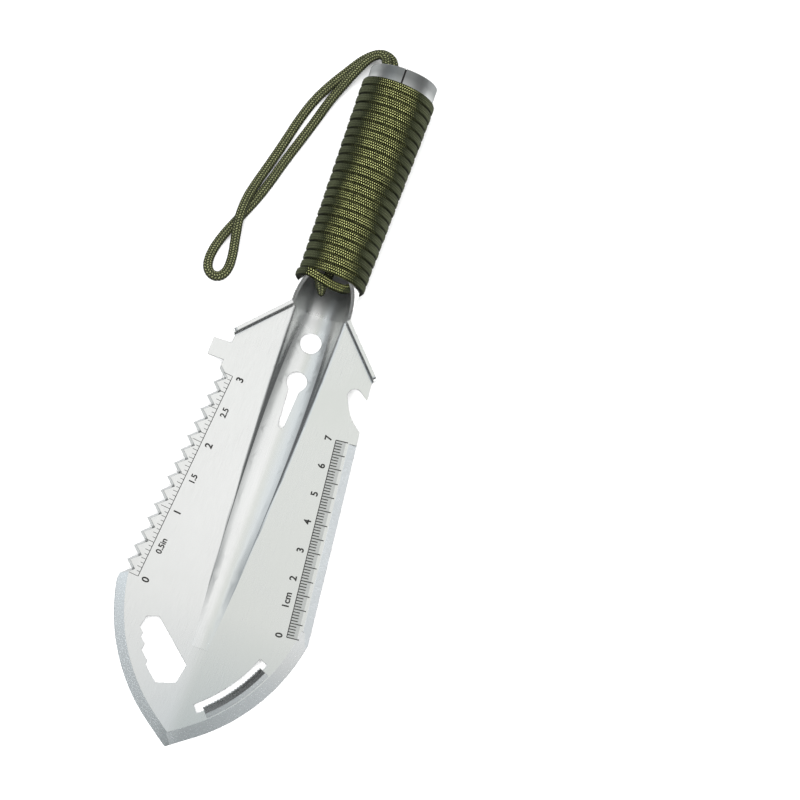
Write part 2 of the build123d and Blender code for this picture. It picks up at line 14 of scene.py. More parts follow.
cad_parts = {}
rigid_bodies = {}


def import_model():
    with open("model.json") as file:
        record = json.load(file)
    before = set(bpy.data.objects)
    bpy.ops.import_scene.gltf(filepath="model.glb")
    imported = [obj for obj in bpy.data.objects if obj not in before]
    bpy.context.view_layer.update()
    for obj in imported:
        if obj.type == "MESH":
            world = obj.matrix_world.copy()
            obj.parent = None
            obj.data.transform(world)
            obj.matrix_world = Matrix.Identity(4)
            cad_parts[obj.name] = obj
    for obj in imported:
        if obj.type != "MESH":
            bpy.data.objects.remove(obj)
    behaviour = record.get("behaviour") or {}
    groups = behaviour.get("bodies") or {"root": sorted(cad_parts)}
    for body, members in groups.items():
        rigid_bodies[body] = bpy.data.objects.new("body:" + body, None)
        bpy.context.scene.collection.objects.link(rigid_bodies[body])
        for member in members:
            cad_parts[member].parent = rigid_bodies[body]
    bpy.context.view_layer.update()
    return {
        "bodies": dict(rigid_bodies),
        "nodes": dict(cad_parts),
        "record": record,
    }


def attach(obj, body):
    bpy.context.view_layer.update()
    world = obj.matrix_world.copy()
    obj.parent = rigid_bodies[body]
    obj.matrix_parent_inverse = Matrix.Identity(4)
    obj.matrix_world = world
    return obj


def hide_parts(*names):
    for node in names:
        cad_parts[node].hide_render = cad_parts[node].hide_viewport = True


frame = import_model()
BODY = next(iter(frame["bodies"]))
MM = 0.001

# ---- Stamping frame: the same driving sizes as the CAD -------------------------------------------
HANG_HOLE = next(m for m in frame["record"]["mounts"] if m["name"] == "hang_hole")
TILT = math.atan2(-HANG_HOLE["axis"][1], HANG_HOLE["axis"][2])
ORIGIN_Y = 123.61
TIP_UNDERSIDE = -1.109
REST = Matrix.Translation((0, -ORIGIN_Y, -TIP_UNDERSIDE)) @ Matrix.Rotation(TILT, 4, "X")
DIHEDRAL = math.radians(4.0)
SHEET = 1.2
AXIS_Z = 4.5
NECK_Y, NECK_RADIUS = 172.0, 10.7
BUTT_Y, BUTT_RADIUS = 247.0, 12.3
SEAM_HALF, SEAM_SINK = 0.198, 0.22
SEAM_RUN = (178.0, BUTT_Y - 0.3)


def at_rest(point):
    """A point of the stamping frame in millimetres, as it lies in the row frame."""
    return (REST @ Vector(point)) * MM


def on_wing(side, x, y, z=0.0):
    """A point on the top face of one wing, side 1 right and -1 left, z above the face."""
    c, s = math.cos(DIHEDRAL), math.sin(DIHEDRAL)
    return at_rest((x * c - side * s * z, y, side * s * x + c * z))


def tube_radius(y):
    share = max(0.0, (y - NECK_Y) / (BUTT_Y - NECK_Y))
    return NECK_RADIUS + share * (BUTT_RADIUS - NECK_RADIUS)


# ---- Camera --------------------------------------------------------------------------------------
CAMERA_AT = (0.03523, -0.20384, 0.95020)
CAMERA_TURN = (12.3284, -4.3586, 18.9441)
CAMERA_LENS = 126.0


def make_camera():
    data = bpy.data.cameras.new("camera")
    data.lens = CAMERA_LENS
    data.sensor_width = 36.0
    data.clip_start, data.clip_end = 0.05, 20.0
    camera = bpy.data.objects.new("camera", data)
    camera.location = CAMERA_AT
    camera.rotation_euler = Euler([math.radians(a) for a in CAMERA_TURN])
    bpy.context.scene.collection.objects.link(camera)
    bpy.context.scene.camera = camera


# ---- Small helpers -------------------------------------------------------------------------------
def mesh_object(name, vertices, faces, smooth=True):
    mesh = bpy.data.meshes.new(name)
    mesh.from_pydata([tuple(v) for v in vertices], [], [tuple(f) for f in faces])
    mesh.update()
    mesh.polygons.foreach_set("use_smooth", [smooth] * len(mesh.polygons))
    made = bpy.data.objects.new(name, mesh)
    bpy.context.scene.collection.objects.link(made)
    return made


class Nodes:
    """Short words for building a material's node tree."""

    def __init__(self, name):
        self.material = bpy.data.materials.new(name)
        self.material.use_nodes = True
        self.tree = self.material.node_tree
        self.shader = self.tree.nodes["Principled BSDF"]

    def add(self, kind, inputs=None, **settings):
        node = self.tree.nodes.new(kind)
        for key, value in settings.items():
            setattr(node, key, value)
        for key, value in (inputs or {}).items():
            self.put(node.inputs[key], value)
        return node

    def put(self, socket, value):
        if isinstance(value, bpy.types.NodeSocket):
            self.tree.links.new(value, socket)
        else:
            socket.default_value = value

    def math(self, operation, a, b=0.0):
        return self.add("ShaderNodeMath", {0: a, 1: b}, operation=operation).outputs[0]

    def product(self, first, *others):
        for other in others:
            first = self.math("MULTIPLY", first, other)
        return first

    def size(self, value):
        return self.math("ABSOLUTE", value)

    def without(self, mask):
        return self.math("SUBTRACT", 1.0, mask)

    def noise(self, vector, scale, detail=2.0, roughness=0.5):
        node = self.add("ShaderNodeTexNoise", {"Vector": vector, "Scale": scale, "Detail": detail,
                                               "Roughness": roughness})
        return node.outputs["Fac"]

    def stretched(self, vector, scale):
        node = self.add("ShaderNodeMapping", {"Vector": vector, "Scale": scale})
        return node.outputs["Vector"]

    def mix(self, factor, a, b):
        node = self.add("ShaderNodeMix", data_type="RGBA")
        self.put(node.inputs["Factor"], factor)
        self.put(node.inputs["A"], a if isinstance(a, bpy.types.NodeSocket) else (*a, 1.0))
        self.put(node.inputs["B"], b if isinstance(b, bpy.types.NodeSocket) else (*b, 1.0))
        return node.outputs["Result"]

    def range(self, value, low, high, to_low=0.0, to_high=1.0):
        node = self.add("ShaderNodeMapRange", {"Value": value, "From Min": low, "From Max": high,
                                               "To Min": to_low, "To Max": to_high})
        return node.outputs["Result"]

    def bump(self, height, distance, strength=1.0, normal=None):
        inputs = {"Height": height, "Distance": distance, "Strength": strength}
        if normal is not None:
            inputs["Normal"] = normal
        return self.add("ShaderNodeBump", inputs).outputs["Normal"]

    def finish(self, **values):
        for key, value in values.items():
            socket = self.shader.inputs[key.replace("_", " ")]
            self.put(socket, value)
        return self.material


# ---- Steel of the stamping -----------------------------------------------------------------------
# Each pair says where a finish or a painted shade begins and where it is full: metres in the row
# frame, or parts of a unit normal.
GROUND_LEAN = (0.09, 0.13)       # a ground face leans sideways or towards the tip by this much
TOO_STEEP = (0.46, 0.42)
GROUND_UP = (0.86, 0.90)
BESIDE_TROUGH = (0.0135, 0.0150)
AT_TIP = (-0.085, -0.095)
TIP_SHADE_Y, TIP_SHADE_X = (-0.074, -0.118), (-0.02, 0.008)
WALL_FROM, WALL_TO = 0.0, -0.06  # the trough's walls get shallower between these
TROUGH_X = (0.0125, 0.0115)
TROUGH_TIP, TROUGH_NECK = (-0.086, -0.070), (0.032, 0.016)
FLANK_UP, FLANK_X = (0.85, 0.75), (-0.0225, -0.0235)
FLANK_NECK, FLANK_TIP = (0.012, 0.008), (-0.0775, -0.0765)
CUT_UP, CUT_Y = (0.35, 0.2), (0.030, 0.026)
BUTT_END = (0.112, 0.120)
BORE_SKIN = (0.0005, 0.0002)
DEEP_IN_TUBE = (0.046, 0.062)
HOLLOW_SKIN, HOLLOW_Y = (0.0005, 0.0003), (0.028, 0.034)
SEAM_X, SEAM_UP, SEAM_Y = (0.00042, 0.00032), (0.005, 0.006), (0.04, 0.05)
FLOOR_X = (0.0092, 0.0080)       # half width of the floor that runs from the trough into the tube

MOUTH_Y = 0.158                  # along the stamping, where the trough meets the tube
MOUTH_KINK = 0.11                # slope of the trough's floor there
MOUTH_EASE = 0.008               # how far to each side the slope is eased
EDGE_RADIUS = 0.00022
HAIRLINE_DEPTH = 0.000004


class Place:
    """Where a point of the stamping is and which way it faces, as node outputs."""

    def __init__(self, n):
        self.point = n.add("ShaderNodeTexCoord").outputs["Object"]
        self.x, self.y, self.z = n.add("ShaderNodeSeparateXYZ", {0: self.point}).outputs
        self.off_middle = n.size(self.x)
        neck, butt = at_rest((0, NECK_Y, AXIS_Z)), at_rest((0, BUTT_Y, AXIS_Z))
        axis_z = n.range(self.y, neck.y, butt.y, neck.z, butt.z)
        self.above_axis = n.math("SUBTRACT", self.z, axis_z)
        squares = n.math("ADD", n.math("POWER", self.x, 2.0), n.math("POWER", self.above_axis, 2.0))
        bore = n.range(self.y, neck.y, butt.y, (NECK_RADIUS - SHEET) * MM, (BUTT_RADIUS - SHEET) * MM)
        self.outside_bore = n.math("SUBTRACT", n.math("SQRT", squares), bore)
        flat = n.add("ShaderNodeNewGeometry").outputs["True Normal"]
        self.across, self.along, self.up = n.add("ShaderNodeSeparateXYZ", {0: flat}).outputs
        self.smooth = n.add("ShaderNodeNewGeometry").outputs["Normal"]
        self.smooth_up = n.add("ShaderNodeSeparateXYZ", {0: self.smooth}).outputs["Z"]
        level = n.math("MULTIPLY", n.math("ADD", self.y, ORIGIN_Y * MM), math.cos(TILT))
        rise = n.math("MULTIPLY", n.math("ADD", self.z, TIP_UNDERSIDE * MM), math.sin(TILT))
        self.lengthways = n.math("ADD", level, rise)


def ground_faces(n, at):
    """Faces that lean more than the wings do, beyond the trough or at the tip."""
    lean = n.math("MAXIMUM", n.size(at.across), n.math("MULTIPLY", at.along, -1.0))
    leaning = n.product(n.range(lean, *GROUND_LEAN), n.range(at.up, *GROUND_UP))
    beside = n.product(leaning, n.range(lean, *TOO_STEEP), n.range(at.off_middle, *BESIDE_TROUGH))
    return n.math("MAXIMUM", beside, n.product(leaning, n.range(at.y, *AT_TIP)))


# Painted shade: the trough's walls are darkened by how steeply they slope, in place of the shade and dark
# reflections in its folds.
def trough_walls(n, at):
    gentle = n.range(at.y, WALL_FROM, WALL_TO, 0.945, 0.990)
    full = n.range(at.y, WALL_FROM, WALL_TO, 0.82, 0.972)
    return n.product(n.range(at.smooth_up, gentle, full), n.range(at.smooth_up, 0.15, 0.35),
                     n.range(at.off_middle, *TROUGH_X), n.range(at.y, *TROUGH_TIP),
                     n.range(at.y, *TROUGH_NECK))


def tooth_flanks(n, at):
    return n.product(n.range(at.up, *FLANK_UP), n.range(at.x, *FLANK_X), n.range(at.y, *FLANK_NECK),
                     n.range(at.y, *FLANK_TIP))


def steel_colour(n, at, ground, cloud, mill, bore_shade, seam):
    """Sheet tones, then each place that is duller, darker or bluer than the sheet, painted shade among
    them.
    """
    broad = n.noise(at.point, 9.0, 1.0, 0.5)
    base = n.mix(n.range(cloud, 0.35, 0.68), (0.84, 0.852, 0.838), (0.90, 0.906, 0.896))
    base = n.mix(n.range(broad, 0.35, 0.65, 0.0, 0.5), base, (0.93, 0.93, 0.925))
    # Painted shade: the tip is darker and bluer, most on its right, where the dished wing turns from the
    # light.
    tip = n.math("MULTIPLY", n.range(at.y, *TIP_SHADE_Y, 0.0, 0.9), n.range(at.x, *TIP_SHADE_X, 0.35, 1.0))
    cut = n.math("MULTIPLY", n.range(n.size(at.up), *CUT_UP), n.range(at.y, *CUT_Y))
    for mask, share, tone in ((ground, 0.75, (0.80, 0.845, 0.875)),
                              (tip, 1.0, (0.64, 0.69, 0.715)),
                              (trough_walls(n, at), 0.7, (0.30, 0.315, 0.32)),
                              (tooth_flanks(n, at), 0.8, (0.20, 0.21, 0.212)),
                              (cut, 0.7, (0.22, 0.23, 0.23)),
                              (mill, 0.9, (0.27, 0.28, 0.28)),
                              (bore_shade, 0.9, (0.045, 0.046, 0.046)),
                              (seam, 1.0, (0.03, 0.03, 0.03))):
        base = n.mix(n.math("MULTIPLY", mask, share), base, tone)
    return base


def mixed_vectors(n, share, a, b):
    node = n.add("ShaderNodeMix", data_type="VECTOR")
    n.put(node.inputs[0], share)
    for name, value in (("A", a), ("B", b)):
        n.put(next(i for i in node.inputs if i.name == name and i.type == "VECTOR"), value)
    return node.outputs[1]


def steel_normal(n, at, relief, in_hollow):
    """Soft edges and hairlines; the floor of the trough eases into the floor of the tube."""
    rounded = n.add("ShaderNodeBevel", {"Radius": EDGE_RADIUS}, samples=6).outputs["Normal"]
    on_floor = n.range(at.off_middle, *FLOOR_X)
    from_mouth = n.size(n.math("SUBTRACT", at.lengthways, MOUTH_Y))
    beside = n.math("MULTIPLY", n.range(from_mouth, 0.0009, 0.0006), on_floor)
    rounded = mixed_vectors(n, n.math("MAXIMUM", beside, in_hollow), rounded, at.smooth)
    eased = n.add("ShaderNodeMapRange", {"Value": at.lengthways, "From Min": MOUTH_Y - MOUTH_EASE,
                                         "From Max": MOUTH_Y + MOUTH_EASE},
                  interpolation_type="SMOOTHSTEP").outputs[0]
    kink = n.math("SUBTRACT", n.math("GREATER_THAN", at.lengthways, MOUTH_Y), eased)
    kink = n.product(kink, at.smooth_up, MOUTH_KINK, on_floor)
    lean_back = n.add("ShaderNodeCombineXYZ", {"Y": kink}).outputs[0]
    rounded = n.add("ShaderNodeVectorMath", {0: rounded, 1: lean_back}, operation="ADD").outputs[0]
    rounded = n.add("ShaderNodeVectorMath", {0: rounded}, operation="NORMALIZE").outputs[0]
    return n.bump(n.math("MULTIPLY", relief, n.without(in_hollow)), HAIRLINE_DEPTH, 0.4, rounded)


def steel_material():
    """Satin rolled sheet: faint cloudy finish, hairlines along the blade, ground bevels, soft edges,
    painted shade.
    """
    n = Nodes("brushed_stainless")
    at = Place(n)
    lines = n.noise(n.stretched(at.point, (5200.0, 90.0, 5200.0)), 1.0, 3.0, 0.6)
    marks = n.noise(n.stretched(at.point, (700.0, 5200.0, 700.0)), 1.0, 3.0, 0.65)
    cloud = n.noise(at.point, 38.0, 3.0, 0.55)
    ground = ground_faces(n, at)
    mill = n.range(at.y, *BUTT_END)
    # Painted shade: the tube's bore is nearly black, for the shade deep inside the tube.
    bore_shade = n.math("MULTIPLY", n.range(at.outside_bore, *BORE_SKIN), n.range(at.y, *DEEP_IN_TUBE))
    in_hollow = n.math("MULTIPLY", n.range(at.outside_bore, *HOLLOW_SKIN), n.range(at.y, *HOLLOW_Y))
    # Painted shade: a dark line along the edges of the tube's seam, where the gap lies in shadow.
    seam = n.product(n.range(at.off_middle, *SEAM_X), n.range(at.above_axis, *SEAM_UP),
                     n.range(at.y, *SEAM_Y))

    rough = n.range(cloud, 0.3, 0.7, 0.22, 0.28)
    for part in (n.math("MULTIPLY", n.range(lines, 0.3, 0.7, -0.03, 0.03), n.without(in_hollow)),
                 n.math("MULTIPLY", in_hollow, 0.12),
                 n.math("MULTIPLY", ground, n.range(marks, 0.35, 0.65, -0.02, 0.1)),
                 n.math("MULTIPLY", mill, 0.24)):
        rough = n.math("ADD", rough, part)
    relief = n.math("ADD", n.math("MULTIPLY", lines, n.without(ground)), n.product(marks, ground, 0.4))
    # Where shade is painted, the steel loses its metal shine.
    outside_painted_shade = n.without(n.math("MAXIMUM", seam, n.math("MULTIPLY", bore_shade, 0.8)))
    # the ground faces scatter light, most on the left edge
    scatter = n.math("MULTIPLY", ground, n.range(at.x, 0.004, -0.006, 0.02, 0.15))
    return n.finish(Base_Color=steel_colour(n, at, ground, cloud, mill, bore_shade, seam),
                    Metallic=n.math("MULTIPLY", outside_painted_shade, n.without(scatter)), Roughness=rough,
                    Normal=steel_normal(n, at, relief, in_hollow),
                    Specular_IOR_Level=n.math("MULTIPLY", outside_painted_shade, 0.5),
                    Specular_Tint=n.mix(mill, (1.0, 1.0, 1.0), (0.40, 0.41, 0.41)))


def etched_material():
    """Laser-darkened steel of the scales: matt, almost black, a little uneven."""
    n = Nodes("laser_etched")
    place = n.add("ShaderNodeTexCoord").outputs["Object"]
    grain = n.noise(place, 4200.0, 3.0, 0.6)
    base = n.mix(n.range(grain, 0.35, 0.65), (0.006, 0.006, 0.006), (0.028, 0.028, 0.026))
    return n.finish(Base_Color=base, Metallic=0.0, Roughness=n.range(grain, 0.3, 0.7, 0.5, 0.75))


def frosted_material():
    """Laser-frosted steel: duller and greyer than the sheet round it."""
    n = Nodes("laser_frosted")
    place = n.add("ShaderNodeTexCoord").outputs["Object"]
    grain = n.noise(place, 3000.0, 2.0, 0.6)
    base = n.mix(n.range(grain, 0.35, 0.65), (0.70, 0.71, 0.70), (0.78, 0.79, 0.78))
    return n.finish(Base_Color=base, Metallic=1.0, Roughness=0.36)


# The looks of the two cords, painted light: where the painted highlights fade out sideways, how pale
# the far sides are painted, the dark tones on top, the painted highlight colour, and the painted shade
# where turns touch.
WOUND_LOOK = {"lean": (0.60, 0.30), "pale": 1.0, "low": (0.0012, 0.0016, 0.0006),
              "high": (0.0105, 0.013, 0.0045), "painted_highlight": (0.52, 0.545, 0.22), "shade": 0.85}
FREE_LOOK = {"lean": (0.99, 0.60), "pale": 0.3, "low": (0.022, 0.0245, 0.014),
             "high": (0.046, 0.050, 0.028), "painted_highlight": (0.27, 0.282, 0.138), "shade": 0.0}
STITCH_SLANT = 0.62


def stitch_crowns(n):
    """How high each point stands on its slanted stitch, from the cord's braid coordinates."""
    across, along, _ = n.add("ShaderNodeSeparateXYZ",
                             {0: n.add("ShaderNodeUVMap", uv_map=BRAID_UV).outputs[0]}).outputs
    odd = n.math("MODULO", n.math("FLOOR", across), 2.0)
    in_row = n.math("SUBTRACT", n.math("FRACT", across), 0.5)
    way = n.math("SUBTRACT", n.math("MULTIPLY", odd, 2.0), 1.0)
    slanted = n.math("ADD", along, n.product(in_row, way, STITCH_SLANT))
    shifted = n.math("ADD", slanted, n.math("MULTIPLY", odd, 0.5))
    in_stitch = n.math("SUBTRACT", n.math("FRACT", n.math("ADD", shifted, 0.5)), 0.5)
    return n.math("MULTIPLY", n.range(n.size(in_stitch), 0.06, 0.36, 1.0, 0.0),
                  n.range(n.size(in_row), 0.16, 0.50, 1.0, 0.0))


def braid_material(name, look):
    """Nylon sheath: painted highlights on the crowns that face up, painted shade where the stitches dive
    under, painted light on the far sides.
    """
    n = Nodes(name)
    crown = stitch_crowns(n)
    place = n.add("ShaderNodeTexCoord").outputs["Object"]
    uneven = n.noise(place, 700.0, 3.0, 0.6)
    cloud = n.noise(place, 110.0, 2.0, 0.5)
    normal = n.add("ShaderNodeNewGeometry").outputs["Normal"]
    sideways, lengthways, up = n.add("ShaderNodeSeparateXYZ", {0: normal}).outputs
    lean = n.math("ADD", n.size(sideways), n.range(cloud, 0.3, 0.7, -0.07, 0.07))
    # Painted highlight: where the cord faces up and not sideways.
    top = n.math("MULTIPLY", n.range(lean, *look["lean"]), n.range(up, 0.25, 0.5))
    # Painted light: the far sides get paler the more they lean sideways.
    pale = n.range(lean, 0.58, 0.92, 0.0, look["pale"])
    low_side = n.mix(pale, (0.007, 0.0085, 0.004), (0.032, 0.036, 0.019))
    high_side = n.mix(pale, (0.020, 0.0235, 0.0115), (0.074, 0.082, 0.045))
    # Painted shade: the yarn is darker where a stitch dives under, near black on top.
    yarn = n.mix(top, n.mix(n.range(crown, 0.0, 0.4), low_side, high_side),
                 n.mix(n.range(crown, 0.12, 0.5), look["low"], look["high"]))
    # Painted highlight colour on the crowns, brightest on top.
    painted_highlight = n.mix(top, n.mix(pale, (0.032, 0.036, 0.018), (0.09, 0.10, 0.055)), look["painted_highlight"])
    strength = n.math("MULTIPLY", n.range(crown, 0.45, 0.72), n.range(uneven, 0.3, 0.58, 0.35, 1.0))
    colour = n.mix(strength, yarn, painted_highlight)
    # Painted shade in the grooves where turns touch.
    if look["shade"]:
        deep = n.range(n.size(lengthways), 0.60, 0.92)
        colour = n.mix(n.math("MULTIPLY", deep, look["shade"]), colour, (0.004, 0.0045, 0.002))
    fibres = n.noise(n.stretched(place, (9000.0, 9000.0, 9000.0)), 1.0, 2.0, 0.7)
    height = n.math("ADD", crown, n.math("MULTIPLY", fibres, 0.25))
    return n.finish(Base_Color=colour, Roughness=0.72, Normal=n.bump(height, 0.00008, 0.6),
                    Specular_IOR_Level=0.06)


# ---- Etched scales -------------------------------------------------------------------------------
ETCH_HEIGHT = 0.03               # how far the etched marks stand on the steel
GROUND_SINK = 0.6                # share of that by which the frosted strip lies lower
NUMERAL_WEIGHT = 0.03            # how far a numeral's strokes are thickened, as a share of its size
INCH, CENTIMETRE = 25.4, 10.0
INCH_SCALE = ((-27.95, 51.0), (-21.05, 126.9))    # its line on the left wing, from tip to butt
CM_SCALE = ((26.64, 48.2), (19.96, 117.9))        # the same on the right wing
INCH_REACH = ((8, 3.3), (2, 1.75), (1, 1.25))     # every eighth mark is longest, then every second
CM_REACH = ((5, 4.3), (1, 2.4))


class Scale:
    """One ruler on a wing: along its line in mm from the zero, and across towards the edge."""

    def __init__(self, side, line, full_length):
        (x0, y0), (x1, y1) = line
        run = math.hypot(x1 - x0, y1 - y0)
        self.side = side
        self.along = ((x1 - x0) / run, (y1 - y0) / run)
        self.across = (side * self.along[1], -side * self.along[0])
        spare = (run - full_length) / 2
        self.zero = (x0 + self.along[0] * spare, y0 + self.along[1] * spare)
        self.vertices, self.faces = [], []

    def point(self, along, across, z):
        x = self.zero[0] + self.along[0] * along + self.across[0] * across
        y = self.zero[1] + self.along[1] * along + self.across[1] * across
        return on_wing(self.side, x, y, z)

    def bar(self, along, across, length, width):
        """A mark from (along, across), length mm along and width mm across, as a thin block."""
        first = len(self.vertices)
        corners = ((along, across), (along + length, across), (along + length, across + width),
                   (along, across + width))
        for z in (-ETCH_HEIGHT, ETCH_HEIGHT):
            self.vertices += [self.point(a, b, z) for a, b in corners]
        box = ((3, 2, 1, 0), (4, 5, 6, 7), (0, 1, 5, 4), (1, 2, 6, 5), (2, 3, 7, 6), (3, 0, 4, 7))
        self.faces += [[first + i for i in face] for face in box]

    def ticks(self, count, step, reaches, thick):
        """Marks a step apart; the first of the reaches whose number divides a mark's own is its reach."""
        for index in range(count + 1):
            reach = next(reach for every, reach in reaches if index % every == 0)
            self.bar(index * step - thick / 2, 0.0, thick, reach)

    def text(self, words, size, along, across):
        """Numerals that read from the tip towards the butt, their middle at (along, across)."""
        data = bpy.data.curves.new("numerals", "FONT")
        data.body = words
        data.size = size
        data.extrude = ETCH_HEIGHT
        data.offset = NUMERAL_WEIGHT * size
        data.align_x, data.align_y = "CENTER", "CENTER"
        data.resolution_u = 4
        holder = bpy.data.objects.new("numerals", data)
        mesh = bpy.data.meshes.new_from_object(holder)
        first = len(self.vertices)
        turned = -self.side
        for v in mesh.vertices:
            self.vertices.append(self.point(along + v.co.x, across + turned * v.co.y, v.co.z))
        self.faces += [[first + i for i in p.vertices] for p in mesh.polygons]
        bpy.data.objects.remove(holder)
        bpy.data.curves.remove(data)
        bpy.data.meshes.remove(mesh)

    def build(self, name, material):
        made = mesh_object(name, self.vertices, self.faces, smooth=False)
        made.data.materials.append(material)
        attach(made, BODY)
        return made


def make_inch_scale(material):
    scale = Scale(-1, INCH_SCALE, 3 * INCH)
    scale.ticks(48, INCH / 16, INCH_REACH, 0.18)
    scale.bar(0, -0.12, 3 * INCH, 0.24)
    for half, words in enumerate(("0", "0.5in", "1", "1.5", "2", "2.5", "3")):
        size = 3.5 if half % 2 == 0 else 2.9
        scale.text(words, size, half * INCH / 2, -2.9)
    return scale.build("inch_scale", material)


def make_cm_ground(material):
    """Frosted strip that the centimetre marks stand on."""
    strip = Scale(1, CM_SCALE, 7 * CENTIMETRE)
    strip.bar(0, 0, 7 * CENTIMETRE, 3.6)
    strip.vertices = [v - Vector((0, 0, GROUND_SINK * ETCH_HEIGHT * MM)) for v in strip.vertices]
    return strip.build("centimetre_ground", material)


def make_cm_scale(material):
    scale = Scale(1, CM_SCALE, 7 * CENTIMETRE)
    scale.ticks(70, 1.0, CM_REACH, 0.34)
    scale.bar(0, -0.14, 7 * CENTIMETRE, 0.28)
    for number in range(8):
        if number == 1:
            scale.text("1cm", 3.3, 12.3, -2.9)
        else:
            scale.text(str(number), 3.4, number * CENTIMETRE + 0.1, -2.6)
    return scale.build("centimetre_scale", material)


# ---- Braided cord --------------------------------------------------------------------------------
BRAID_UV = "braid"
STITCH = 0.78 * MM               # length of one stitch along the cord
FREE_STITCH = 0.92 * MM          # the same on the free cord
ROWS = 10                        # stitch rows round a free cord
CORD = 3.4 * MM
RELIEF = 0.075 * MM


def resample(points, step):
    """Points a constant step apart along a line of points."""
    points = np.asarray(points, float)
    gone = np.concatenate([[0], np.cumsum(np.linalg.norm(np.diff(points, axis=0), axis=1))])
    count = max(4, int(round(gone[-1] / step)) + 1)
    places = np.linspace(0, gone[-1], count)
    return np.stack([np.interp(places, gone, points[:, k]) for k in range(3)], 1)


def unit(vectors):
    return vectors / np.linalg.norm(vectors, axis=1, keepdims=True)


def carried_normals(centres):
    """A normal at each point that turns with the line but doesn't twist about it."""
    along = unit(np.gradient(centres, axis=0))
    normal = np.cross(along[0], (0.0, 0.0, 1.0))
    normal = np.cross(normal, along[0])
    normals = []
    for direction in along:
        normal = normal - direction * normal.dot(direction)
        normal = normal / np.linalg.norm(normal)
        normals.append(normal)
    return np.array(normals)


def braid_relief(columns, rings):
    """Height of each vertex: row middles rise and dive in turn, and the lines between rows lie low."""
    ring, column = np.meshgrid(np.arange(rings), np.arange(columns), indexing="ij")
    row = column // 2
    crown = np.where((ring + row) % 2 == 0, 1.0, -0.6)
    return np.where(column % 2 == 1, crown, -0.35)


def swept(name, centres, normals, side_offsets, up_offsets, material):
    """A closed tube with one ring of vertices at each centre, and braid coordinates on it."""
    along = unit(np.gradient(centres, axis=0))
    ups = unit(normals - along * np.sum(normals * along, 1, keepdims=True))
    sides = np.cross(along, ups)
    rings, columns = up_offsets.shape
    places = (centres[:, None] + sides[:, None] * side_offsets[..., None]
              + ups[:, None] * up_offsets[..., None]).reshape(-1, 3)
    ring, column = np.meshgrid(np.arange(rings - 1), np.arange(columns), indexing="ij")
    following = (column + 1) % columns
    quads = np.stack([ring * columns + column, ring * columns + following,
                      (ring + 1) * columns + following, (ring + 1) * columns + column], -1).reshape(-1, 4)
    caps = [list(range(columns))[::-1], [(rings - 1) * columns + c for c in range(columns)]]
    made = mesh_object(name, places, quads.tolist() + caps)
    across = np.stack([column, column + 1, column + 1, column], -1) / 2
    onward = np.stack([ring, ring, ring + 1, ring + 1], -1) / 2
    spread = np.zeros((len(made.data.loops), 2))
    spread[:across.size] = np.stack([across.ravel(), onward.ravel()], 1)
    layer = made.data.uv_layers.new(name=BRAID_UV)
    layer.data.foreach_set("uv", spread.ravel())
    made.data.materials.append(material)
    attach(made, BODY)
    return made


def round_braid(name, line, material, radius=CORD / 2, thickness=None):
    """A round braided cord along a line of points; thickness gives each ring's share of the radius."""
    centres = resample(line, FREE_STITCH / 2)
    rings, columns = len(centres), ROWS * 2
    share = np.ones(rings) if thickness is None else np.array([thickness(t) for t in
                                                             np.linspace(0, 1, rings)])
    angle = np.arange(columns) * 2 * math.pi / columns
    reach = (radius - 0.3 * RELIEF + RELIEF * braid_relief(columns, rings)) * share[:, None]
    return swept(name, centres, carried_normals(centres), reach * np.cos(angle), reach * np.sin(angle),
                 material)


def nurbs_points(route):
    """Points along the smooth curve that has the route's points as its control points."""
    data = bpy.data.curves.new("route", "CURVE")
    data.dimensions = "3D"
    data.resolution_u = 16
    spline = data.splines.new("NURBS")
    spline.points.add(len(route) - 1)
    for point, place in zip(spline.points, route):
        point.co = (*[c * MM for c in place], 1.0)
    spline.order_u = 3
    spline.use_endpoint_u = True
    holder = bpy.data.objects.new("route", data)
    mesh = bpy.data.meshes.new_from_object(holder)
    points = [tuple(v.co) for v in mesh.vertices]
    bpy.data.objects.remove(holder)
    bpy.data.curves.remove(data)
    bpy.data.meshes.remove(mesh)
    return points


